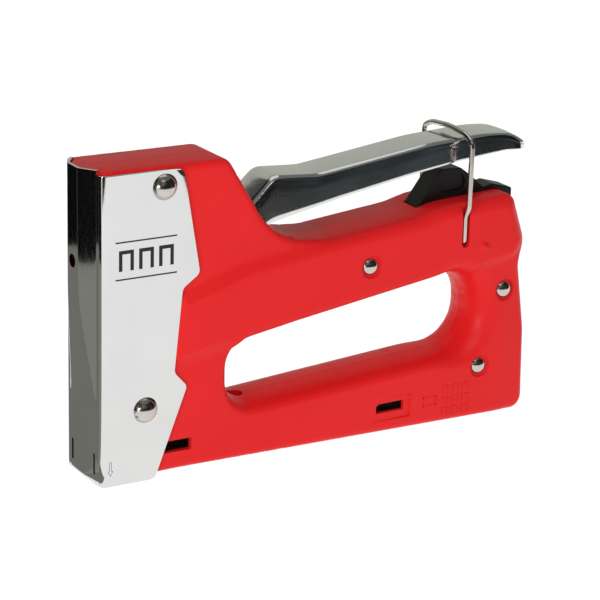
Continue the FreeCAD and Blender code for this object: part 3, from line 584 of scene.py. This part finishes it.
# what is taken out of each shell: name, near and far half width, outline
shellRooms = [
    ("noseRoom", [(-1, 3), (-1, 105.6), (46, 105.4, 3), (47.4, 101), (47.4, 17), (47, 3.4)]),
    ("rearRoom", [(47.3, 3.4), (47.3, 14.6, 2), (146, 17.6, 3), (157, 27, 6), (157, 54, 3), (160, 62, 3),
                  (160, 78.6, 3), (166, 62, 6), (168, 30, 6), (168.6, 3)]),
    ("gripRoom", [(47.3, 49.5), (47.3, 100), (60, 77, 14), (88, 72.2, 20), (124, 76, 20),
                  (160.1, 79.4), (160.1, 62), (140, 59.6, 10), (75, 50.4, 10)]),
]
shellCuts = [
    ("leverSlot", -1, 10.4, [(44, 103.5), (64, 103.5), (73.5, 82), (73.5, 77.8), (44, 77.8)]),
    ("cheekSlot", 8.1, 10.41, [(50, 73), (73.5, 73), (73.5, 80), (50, 80)]),
    ("insertSeat", -1, 4.5, [(126.3, 75), (167.3, 75), (167.3, 95), (126.3, 95)]),
    ("magazineSlot", -1, 7.1, [(4, -1), (164, -1), (164, 3.4), (4, 3.4)]),
    ("magazineMouth", -1, 7.5, [(158, -1), (175, -1), (175, 15.4), (158, 15.4)]),
    ("guideSeat", -1, 9.7, [(-1, -1), (6, -1), (6, 61), (-1, 61)]),
    ("frontWindow", 8, 20, [(23, 7.9, 0.3), (34.1, 7.9, 0.3), (34.1, 12.1, 0.3), (23, 12.1, 0.3)]),
    ("rearWindow", 8, 20, [(107.6, 7.9, 0.2), (119.1, 7.9, 0.2), (119.1, 11.4, 0.2), (108.6, 11.4, 0.4),
                           (107.6, 10.6, 0.4)]),
    ("bailGroove", 12, 20, [(139.7, 65.1, 1.49), (142.7, 65.1, 1.49), (142.7, 90), (139.7, 90)]),
]


def shellCutters(side):
    # rooms, slots, windows and groove of one shell, as blocks to take away
    def across(name, near, far, corners, step):
        return prism(name, roundedPath(corners, step), *sorted((side * near, side * far)))

    inner = shell["flatHalf"] - shell["wall"]
    cutters = [across(name, -1, inner, corners, 60) for name, corners in shellRooms]
    cutters += [across(name, near, far, corners, 50) for name, near, far, corners in shellCuts]
    x, y, radius = shell["drain"]
    cutters.append(prism("drainHole", circle(x, y, radius), *shell["drainSpan"], "z"))
    return cutters


def makeShells():
    loose = sideLattice()
    found, faces, order = triangulate([outlinePath, openingPath], loose)
    half = shellHalf(found)
    for index in range(len(outlinePath)):              # the outline itself lies on no rounding
        half[order[index]] = max(half[order[index]], shell["flatHalf"] - shell["edgeRadius"])
    lattice = (found, faces, order, half)
    for name, side in (("left_shell", -1), ("right_shell", 1)):
        piece = shellSolid(name.replace("_s", "S") + "Moulding", side, lattice)
        carve(piece, shellCutters(side), sharpAngle=40)
        gap, root = shell["tongueGap"], shell["tongueRoot"]
        wide, narrow = side * shell["tongueWide"], side * shell["tongueNarrow"]
        tongue = [(root, 0), (root, wide), (gap, wide), (gap - bulgeDepth, narrow), (gap - bulgeDepth, 0)]
        cap = prism("tongue", roundedPath(tongue, 60), *shell["tongueSpan"], "z")
        carve(piece, [cap], "UNION", 40)
        dress(piece, "mouldedAbsRed")
        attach(piece, "housing")
        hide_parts(name)
        print(name, "moulded,", len(piece.data.polygons), "faces")


makeShells()


# nose cover: one folded sheet, its front pressed out

nose = {
    "halfWidth": 13.5, "bend": 2.3, "sheet": 1.0, "deburr": 0.2, "sharp": 24, "top": 106.8, "bulgeTop": 108.2,
    "bulgeBase": 9.8, "bulgeSlope": 0.675, "bulgeStart": 20, "bulgeFull": 70, "bulgeRound": 0.7,
    "backEdge": [(19.8, 0, 2.5), (31.8, 31.2, 2.2), (27, 36.5, 3), (29.9, 65.5, 3), (36.3, 70, 2.5),
                 (29.9, 106.8, 3.5)],
    "frontReach": 10.2, "lipTop": 107.3,
    "sightHole": (0, 76, 2.3), "lugSlots": (8.2, 3.4, 10.8, 0.65),
}


def bulgeAt(y, z):                     # how far the pressed front stands out at a point
    rise = bulgeDepth * easeStep((z - nose["bulgeStart"]) / (nose["bulgeFull"] - nose["bulgeStart"]))
    flank = nose["bulgeSlope"] * (nose["bulgeBase"] - np.abs(y))
    out = softMin(rise, flank, nose["bulgeRound"])
    return -softMin(-out, np.zeros_like(out), nose["bulgeRound"] * 0.6)


def makeNose():
    half, bend = nose["halfWidth"], nose["bend"]
    corners = [(0, 0)] + nose["backEdge"] + [(0, nose["top"])]
    profile = roundedPath(corners, 2, closed=False)
    profile = profile[(profile[:, 0] > 15)]
    levels = np.unique(np.round(np.concatenate((np.arange(0, nose["top"], 1.5), profile[:, 1],
                                                [nose["top"]])), 2))
    levels = levels[np.concatenate(([True], np.diff(levels) > 0.12))]
    levels[-1] = nose["top"]
    reach = nose["frontReach"]
    front = np.arange(-reach, reach + 0.01, 0.3)
    turns = np.radians(np.arange(0, 91, 9))
    shares = np.linspace(0, 1, 14)[1:]
    points = []
    for z in list(levels) + [nose["lipTop"], nose["bulgeTop"]]:
        back = np.interp(min(z, nose["top"]), profile[:, 1], profile[:, 0])
        row = []
        for sign in (-1, 1):
            sideRow = [(bend + (back - bend) * share, sign * half) for share in shares[::-1]]
            sideRow += [(bend - bend * math.sin(turn), sign * (half - bend + bend * math.cos(turn)))
                        for turn in turns]
            row.append(sideRow)
        middle = [(-float(bulgeAt(np.array([y]), z)[0]), y) for y in front]
        line = row[0] + middle + row[1][::-1]
        points += [(x, y, z) for x, y in line]
        width = len(line)
    first = len(row[0])
    faces = []
    rows = len(levels) + 2
    for r in range(rows - 1):
        for c in range(width - 1):
            if r >= len(levels) - 1 and not first + 1 <= c < first + len(front) - 2:
                continue
            here, above = r * width + c, (r + 1) * width + c
            faces.append((here, here + 1, above + 1, above))
    used = sorted({corner for face in faces for corner in face})
    renumber = {old: new for new, old in enumerate(used)}
    piece = makePiece("noseCoverPressing", [points[old] for old in used],
                      [tuple(renumber[corner] for corner in face) for face in faces], 60)
    face = piece.data.polygons[len(piece.data.polygons) // 2]          # one of the front, which looks ahead
    if face.normal.x * (face.center.x * 1000 - noseFace - 10) < 0 and abs(face.normal.x) > 0.3:
        piece.data.flip_normals()
    pressSheet(piece, nose["sheet"], nose["deburr"], nose["sharp"], evenOffset=True)
    y, z, radius = nose["sightHole"]
    middle, low, high, halfSlot = nose["lugSlots"]
    cutters = [prism("sight", circle(y, z, radius, 48), -8, 3, "x")]
    for side in (-1, 1):
        path = rectangle(side * middle - halfSlot, low, side * middle + halfSlot, high, 0.2)
        cutters.append(prism("lugSlot", path, -3, 3, "x"))
    carve(piece, cutters, sharpAngle=nose["sharp"])
    dress(piece, "polishedChromePlate")
    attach(piece, "housing")
    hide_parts("nose_cover")
    print("nose cover pressed,", len(piece.data.polygons), "faces")


makeNose()


# squeeze lever: a channel open downwards, drawn as stations along its length

lever = {
    "top": [(35.5, 82.5), (51.5, 83.6, 6), (67.2, 98.4, 5), (84, 97.2, 20), (100, 99.2, 40),
            (128, 102.8, 60), (152, 104, 60), (163, 103.2, 14), (170.8, 98.7)],
    "bottom": [(35.5, 69.5), (50, 70, 6), (63.6, 82.2, 12), (91, 87.7, 80), (119.2, 92.5, 80),
               (139.4, 95.3, 80), (160, 97.2, 20), (170.8, 96.6)],
    "start": 47, "halfWidth": 9.5, "sheet": 1.1, "tailRadius": 8.5, "tailCentre": 163.5,
    "shoulder": 2.3, "lean": 0.07, "crown": 0.5, "crease": 0.3,
    "shoulderWide": 1.15,              # width of the shoulder's rounding for each mm of its height
    "creaseLine": [(0.12, 0.06), (0.8, 0.10), (1, 0.13)],     # out and down, as shares of crease and wall
    "deburr": 0.18, "sharp": 35,
}


def makeLever():
    topLine = roundedPath(lever["top"], 1.5, closed=False)
    bottomLine = roundedPath(lever["bottom"], 1.5, closed=False)
    stations = np.concatenate((np.arange(lever["start"], 160, 1.2), np.linspace(160, 170.7, 22)))
    points, width = [], 0
    for x in stations:
        top = np.interp(x, topLine[:, 0], topLine[:, 1])
        bottom = np.interp(x, bottomLine[:, 0], bottomLine[:, 1])
        half = lever["halfWidth"]
        past = x - lever["tailCentre"]
        if past > 0:
            half = half - lever["tailRadius"] + math.sqrt(lever["tailRadius"] ** 2 - past ** 2)
        height = top - bottom
        shoulder = min(lever["shoulder"], 0.5 * height)
        lean = lever["lean"] * max(height - shoulder, 0)
        crease = lever["crease"] * min(1, height / 6)
        flank = half - lean - crease
        line = []
        shoulderWidth = shoulder * lever["shoulderWide"]
        for y in np.linspace(0, flank - shoulderWidth, 9)[:-1]:
            line.append((y, top - lever["crown"] * (y / half) ** 2))
        rim = top - lever["crown"] * ((flank - shoulder) / half) ** 2
        for turn in np.radians(np.arange(0, 91, 15)):
            line.append((flank - shoulderWidth * (1 - math.sin(turn)),
                         rim - (shoulder - (top - rim)) * (1 - math.cos(turn))))
        under = line[-1][1]
        wall = under - bottom
        for out, down in lever["creaseLine"]:
            line.append((flank + crease * out, under - down * wall))
        for share in (0.3, 0.5, 0.7, 0.85, 1):
            line.append((flank + crease + lean * (share - down) / (1 - down), under - share * wall))
        full = [(-y, z) for y, z in line[:0:-1]] + line
        points += [(x, y, z) for y, z in full]
        width = len(full)
    faces = []
    for r in range(len(stations) - 1):
        for c in range(width - 1):
            here, after = r * width + c, (r + 1) * width + c
            faces.append((here, after, after + 1, here + 1))
    piece = makePiece("squeezeLeverPressing", points, faces, 50)
    crownFace = max(piece.data.polygons, key=lambda face: face.center.z)
    if crownFace.normal.z < 0:
        piece.data.flip_normals()
    pressSheet(piece, lever["sheet"], lever["deburr"], lever["sharp"], evenOffset=False)
    dress(piece, "linishedChromePlate")
    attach(piece, "lever")
    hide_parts("lever")
    print("lever pressed,", len(piece.data.polygons), "faces")


makeLever()


# printed and moulded marks, generic ones

marks = {
    "printLow": 71.6, "printHigh": 84.2, "printLeft": 5.2, "printRight": 27.6, "printRule": 0.5,
    "staple": (5.4, 7.0, 1.25), "stapleStart": (1.2, 2.8), "stapleGap": 1.9, "inkFilm": 0.03,
    "arrow": [[(2.85, 5.6), (2.85, 9), (3.0, 9), (3.0, 5.6)],
              [(3.6, 5.6), (3.6, 9), (3.75, 9), (3.75, 5.6)],
              [(2.85, 5.6), (2.3, 5.6), (3.3, 3.7), (4.3, 5.6), (3.75, 5.6), (3.75, 5.45), (4.05, 5.45),
               (3.3, 4.0), (2.55, 5.45), (2.85, 5.45)]],
    "arrowFilm": 0.01,
    "emboss": 0.16, "sunk": 0.2, "stroke": 0.35,
    "frame": (127, 7.4, 132.7, 11),                # low x, low z, high x, high z
    "glyphStart": (135.2, 3.2), "glyphPitch": (4.2, 4.1), "glyphSize": (2.6, 2.6), "glyphGrowth": 0.2,
}


def stapleGlyph(left, low, width, height, stroke):
    # a staple seen from the front: a crown and two legs
    right, high = left + width, low + height
    return np.array([(left, low), (left, high), (right, high), (right, low), (right - stroke, low),
                     (right - stroke, high - stroke), (left + stroke, high - stroke), (left + stroke, low)])


def makeMarks():
    width, height, stroke = marks["staple"]
    low, left, right = marks["printLow"], marks["printLeft"], marks["printRight"]
    halfRule = marks["printRule"] / 2
    boxLeft, boxLow, boxRight, boxHigh = marks["frame"]
    line = marks["stroke"]
    for word, side in (("left", -1), ("right", 1)):
        nearFace = side * nose["halfWidth"]
        film = sorted((nearFace, nearFace + side * marks["inkFilm"]))
        parts = []
        for z in (low, marks["printHigh"]):
            parts.append(prism("rule", rectangle(left, z - halfRule, right, z + halfRule), *film))
        for number in range(3):
            startX = left + marks["stapleStart"][0] + number * (width + marks["stapleGap"])
            startZ = low + marks["stapleStart"][1]
            parts.append(prism("staple", stapleGlyph(startX, startZ, width, height, stroke), *film))
        piece = joined(word + "NosePrint", parts)
        dress(piece, "printedInkBlack")
        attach(piece, "housing")
        film = sorted((nearFace, nearFace + side * marks["arrowFilm"]))
        piece = joined(word + "FeedArrow",
                       [prism("stroke", np.array(path), *film) for path in marks["arrow"]])
        dress(piece, "phosphatedSteel")
        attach(piece, "housing")
        flat = shell["flatHalf"]
        film = sorted((side * (flat - marks["sunk"]), side * (flat + marks["emboss"])))
        parts = []
        for box in ((boxLeft, boxLow, boxRight, boxLow + line), (boxLeft, boxHigh - line, boxRight, boxHigh),
                    (boxLeft, boxLow, boxLeft + line, boxHigh), (boxRight - line, boxLow, boxRight, boxHigh)):
            parts.append(prism("frame", rectangle(*box), *film))
        for row in range(3):
            for column in range(3):
                startX = marks["glyphStart"][0] + column * marks["glyphPitch"][0]
                startZ = marks["glyphStart"][1] + row * marks["glyphPitch"][1]
                wide = marks["glyphSize"][0] + marks["glyphGrowth"] * column
                glyph = stapleGlyph(startX, startZ, wide, marks["glyphSize"][1], line)
                parts.append(prism("glyph", glyph, *film))
        piece = joined(word + "MouldedMarks", parts)
        dress(piece, "mouldedAbsRed")
        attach(piece, "housing")


makeMarks()
print("marks made")


# finishes of the carried-over pieces

for part in frame["record"]["subparts"]:
    node = frame["nodes"].get(part["node"])
    if node is not None and not node.hide_render:
        dress(node, nodeFinish.get(part["node"], slotFinish[part["material_slot"]]))
        shade(node, 32)
print("carried-over pieces dressed")


# studio: floor, lights and cards; metres and watts

studio = {
    "floorSize": 6, "floorGlow": 1.0, "floorTone": "6E6E6E",
    "key": {"power": 15.5, "size": 1.2, "place": (-0.7, -1.5, 1.25)},
    "fill": {"power": 5, "size": 1.4, "place": (1.5, -1.0, 0.9)},
    "top": {"power": 5.5, "size": 1.6, "place": (0.1, 0.6, 1.9)},
    "strip": {"power": 1.6, "size": 0.12, "place": (-0.62, -0.36, 0.14)},
    "skyTone": "D8D8D8", "skyGlow": 0.26, "overFloor": 0.0006,
    # mirrored by the chromed front, turning from its flat to its near flank and bend:
    # first angle, last angle, reach, tone of the card, tone of the floor before it
    "noseFlags": [
        (92, 108, 0.27, "4A4A46", "7C7C75"), (108, 131, 0.27, "0A0A0A", "7C7C75"),
        (131, 150, 0.27, "343431", "7C7C75"), (150, 191.7, 0.25, "0C0C0C", "8E8E87"),
        (191.7, 192.4, 0.25, "4C4C48", "B4B4AE"), (192.4, 193.1, 0.25, "E8E8E2", "E8E8E2"),
        (193.1, 193.8, 0.25, "4C4C48", "B4B4AE"), (193.8, 200, 0.25, "141413", "6A6A64")],
    "noseFlagHeight": 0.5,
    "footFlag": (0.02, 200, 262, "7C7C75"),
    # mirrored by the lever's sides: a long dark card with uneven upright bands in its middle
    "frontRadius": 0.42, "frontHeight": 0.55, "frontTone": "101214", "frontSpan": (205, 350),
    "bandStart": 284, "bandWidth": 3.4,
    "bands": ["0E0E0E", "1D1B1A", "2C2B2B", "181A1B", "343B3F", "22272A", "40474B", "1A1D1F", "2A2F32"],
    # mirrored by the top of the lever
    "backCard": ((0.1, 0.1), 0.8, 30, 130, 0.9, "B9BBB2"),
}


def glow(name, hexColour):
    material = bpy.data.materials.new(name)
    material.use_nodes = True
    tree = material.node_tree
    tree.nodes.clear()
    light = addNode(tree, "ShaderNodeEmission", {"Color": linear(hexColour), "Strength": 1})
    addNode(tree, "ShaderNodeOutputMaterial", links={"Surface": (light, "Emission")})
    return material


def reflector(name, points, faces, hexColour):
    # a card that shows only in mirror surfaces
    mesh = bpy.data.meshes.new(name)
    mesh.from_pydata(points, [], faces)
    card = addObject(name, mesh)
    card.data.materials.append(glow(name, hexColour))
    card.visible_camera = False
    card.visible_diffuse = False
    card.visible_shadow = False
    card.visible_transmission = False


def arcPoints(centre, radius, fromAngle, toAngle, count=24):
    angles = np.radians(np.linspace(fromAngle, toAngle, count))
    return [(centre[0] + radius * math.cos(a), centre[1] + radius * math.sin(a)) for a in angles]


def arcWall(name, centre, radius, fromAngle, toAngle, high, hexColour):
    # an upright card on an arc about a point of the floor; angles count from the rear, to the left
    rim = arcPoints(centre, radius, fromAngle, toAngle)
    count = len(rim)
    points = [(x, y, z) for z in (0, high) for x, y in rim]
    faces = [(i, i + 1, i + 1 + count, i + count) for i in range(count - 1)]
    reflector(name, points, faces, hexColour)


def floorSector(name, centre, radius, fromAngle, toAngle, hexColour):
    # a slice of a disc lying just over the floor
    rim = arcPoints(centre, radius, fromAngle, toAngle)
    points = [(x, y, studio["overFloor"]) for x, y in [centre] + rim]
    faces = [(0, i, i + 1) for i in range(1, len(rim))]
    reflector(name, points, faces, hexColour)


def areaLight(name, spec, aim=(0, 0, 0.05)):
    lamp = bpy.data.lights.new(name, "AREA")
    lamp.energy = spec["power"]
    lamp.shape = "SQUARE"
    lamp.size = spec["size"]
    stand = addObject(name, lamp)
    place = Vector(spec["place"])
    stand.location = place
    stand.rotation_euler = (Vector(aim) - place).to_track_quat("-Z", "Y").to_euler()
    stand.visible_camera = False


def makeStudio():
    size = studio["floorSize"]
    mesh = bpy.data.meshes.new("floor")
    corners = [(-size, -size, 0), (size, -size, 0), (size, size, 0), (-size, size, 0)]
    mesh.from_pydata(corners, [], [(0, 1, 2, 3)])
    floor = addObject("floor", mesh)
    material, tree, shader = startMaterial("paleSweep", {
        "Base Color": linear(studio["floorTone"]), "Roughness": 0.9, "Specular IOR Level": 0,
        "Emission Color": linear("FFFFFF"), "Emission Strength": studio["floorGlow"]})
    floor.data.materials.append(material)
    for name in ("key", "fill", "top", "strip"):
        areaLight(name + "Light", studio[name])
    world = bpy.data.worlds.new("studioWorld")
    bpy.context.scene.world = world
    world.use_nodes = True
    world.node_tree.nodes["Background"].inputs["Color"].default_value = linear(studio["skyTone"])
    world.node_tree.nodes["Background"].inputs["Strength"].default_value = studio["skyGlow"]
    noseSpot = (noseFace / 1000, 0)
    for start, end, reach, wallTone, floorTone in studio["noseFlags"]:
        arcWall("noseFlag", noseSpot, reach, start, end, studio["noseFlagHeight"], wallTone)
        floorSector("noseFloorFlag", noseSpot, reach, start, end, floorTone)
    floorSector("noseFootFlag", noseSpot, *studio["footFlag"])
    radius, height, bandWidth = studio["frontRadius"], studio["frontHeight"], studio["bandWidth"]
    spanStart, spanEnd = studio["frontSpan"]
    arcWall("frontFlag", (0, 0), radius, spanStart, studio["bandStart"], height, studio["frontTone"])
    for band, tone in enumerate(studio["bands"]):
        start = studio["bandStart"] + bandWidth * band
        arcWall("leverFlag", (0, 0), radius, start, start + bandWidth, height, tone)
    arcWall("frontFlag", (0, 0), radius, start + bandWidth, spanEnd, height, studio["frontTone"])
    arcWall("backCard", *studio["backCard"])
    bpy.context.scene.view_settings.view_transform = "Standard"


makeStudio()
print("studio set")
